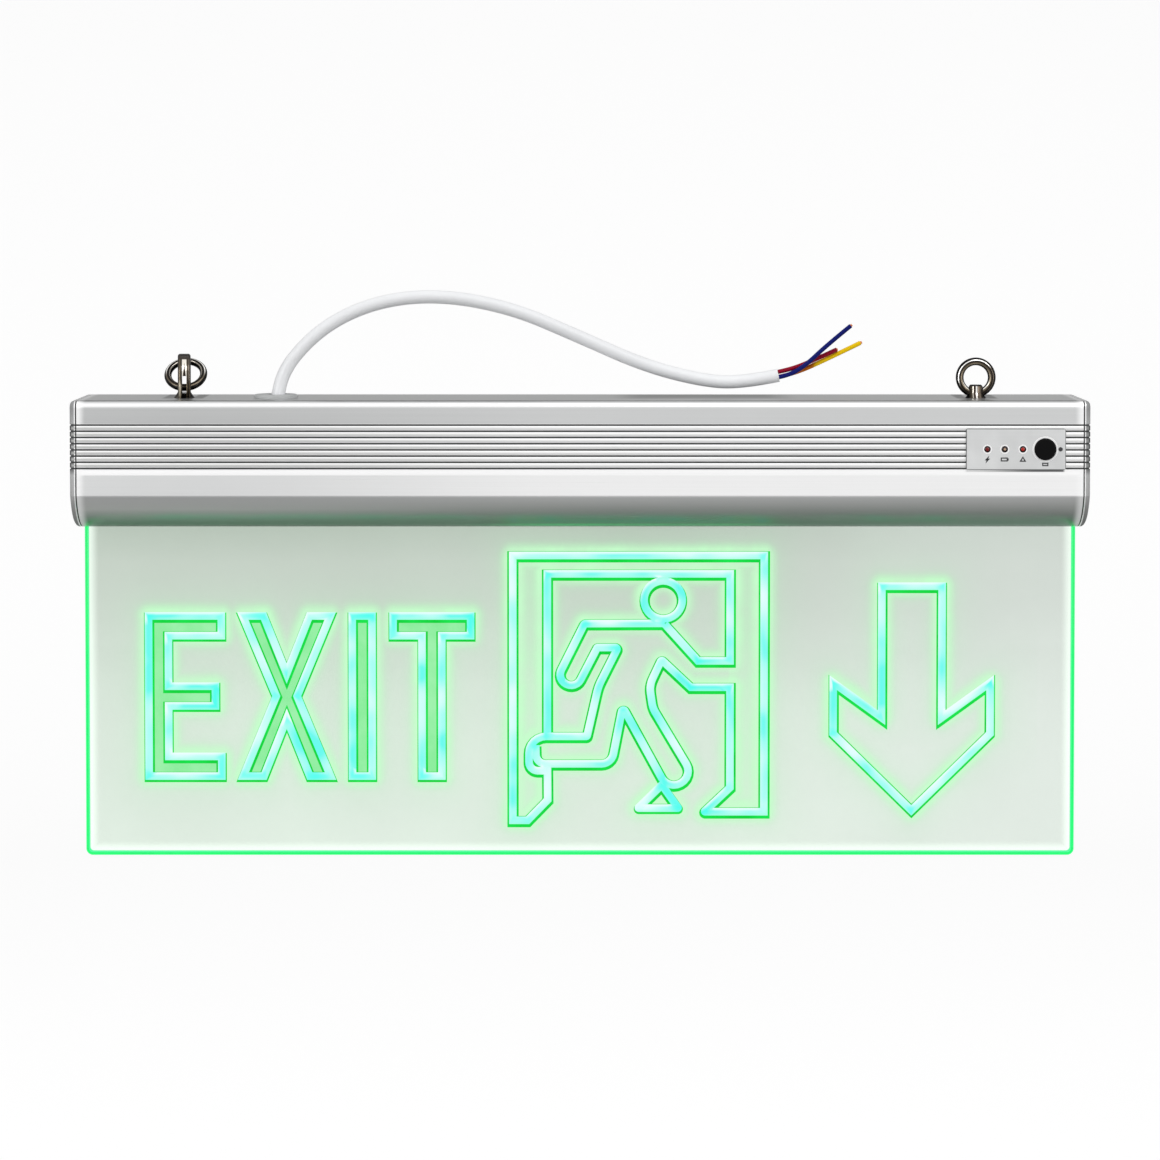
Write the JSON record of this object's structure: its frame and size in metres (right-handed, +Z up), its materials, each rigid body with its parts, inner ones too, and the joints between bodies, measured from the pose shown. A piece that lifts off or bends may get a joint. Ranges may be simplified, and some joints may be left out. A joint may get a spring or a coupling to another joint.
{
  "type": "emergency exit light",
  "caption": "Hanging edge-lit exit sign: ribbed aluminium housing with a clear lit panel below, two eye bolts on top, a test button, indicator lamps and a white mains cable.",
  "frame": {"origin": "middle of the housing's top face, midway between the two eye bolts that it hangs from", "axes": "+X along the housing to the control plate's end, +Y from the front to the back, +Z up"},
  "size_m": [0.36, 0.0429, 0.2033],
  "materials": {
    "satin_aluminium": "satin anodised, drawn along its length",
    "cap_aluminium": "satin anodised casting",
    "panel_acrylic": "clear acrylic, lit from its top edge",
    "plate_silver": "fine matt",
    "zinc_screw": "zinc plated",
    "nickel_plate": "dark nickel plate",
    "grey_bush": "moulded",
    "white_sheath": "soft sheath, slight sheen",
    "blue_insulation": "insulation",
    "red_insulation": "insulation",
    "yellow_insulation": "insulation",
    "black_button": "moulded, domed edge",
    "red_lens": "clear tinted",
    "amber_lens": "clear tinted",
    "circuit_board": "solder mask",
    "white_board": "white solder mask",
    "green_emitter": "clear resin",
    "black_component": "moulded",
    "green_block": "moulded",
    "cell_sleeve": "shrink sleeve",
    "white_moulding": "moulded",
    "steel_lamination": "stacked sheet",
    "copper_winding": "taped winding",
    "capacitor_sleeve": "shrink sleeve"
  },
  "bodies": {
    "root": {"housing_extrusion": "satin_aluminium", "left_end_cap": "cap_aluminium", "right_end_cap": "cap_aluminium", "end_cap_screws": "zinc_screw", "sign_panel": "panel_acrylic", "front_hanger_bar": "satin_aluminium", "rear_hanger_bar": "satin_aluminium", "hanger_screws": "zinc_screw", "light_strip": "white_board", "light_emitters": "green_emitter", "left_eye_bolt": "nickel_plate", "right_eye_bolt": "nickel_plate", "eye_bolt_nuts": "zinc_screw", "cable_gland": "grey_bush", "gland_nut": "grey_bush", "mains_cable": "white_sheath", "blue_core": "blue_insulation", "red_core": "red_insulation", "yellow_core": "yellow_insulation", "inner_cores": "blue_insulation", "terminal_block": "green_block", "control_plate": "plate_silver", "plate_screw": "zinc_screw", "supply_lamp": "red_lens", "charge_lamp": "amber_lens", "fault_lamp": "red_lens", "indicator_board": "circuit_board", "test_switch": "black_component", "battery_cells": "cell_sleeve", "battery_tray": "white_moulding", "battery_clips": "zinc_screw", "driver_board": "circuit_board", "transformer": "steel_lamination", "transformer_winding": "copper_winding", "driver_capacitors": "capacitor_sleeve", "driver_chips": "black_component"},
    "hanging_ring": {"hanging_ring": "nickel_plate"},
    "test_button": {"test_button": "black_button", "switch_plunger": "black_component"}
  },
  "joints": [
    {"name": "ring_swing", "type": "hinge", "parent": "root", "child": "hanging_ring", "pos_m": [-0.1418, 0, 0.0036], "axis": [1, 0, 0], "range_deg": [-53, 10]},
    {"name": "button_press", "type": "slide", "parent": "root", "child": "test_button", "axis": [0, 1, 0], "range_m": [0, 0.0008], "stiffness_N_per_m": 1500}
  ]
}
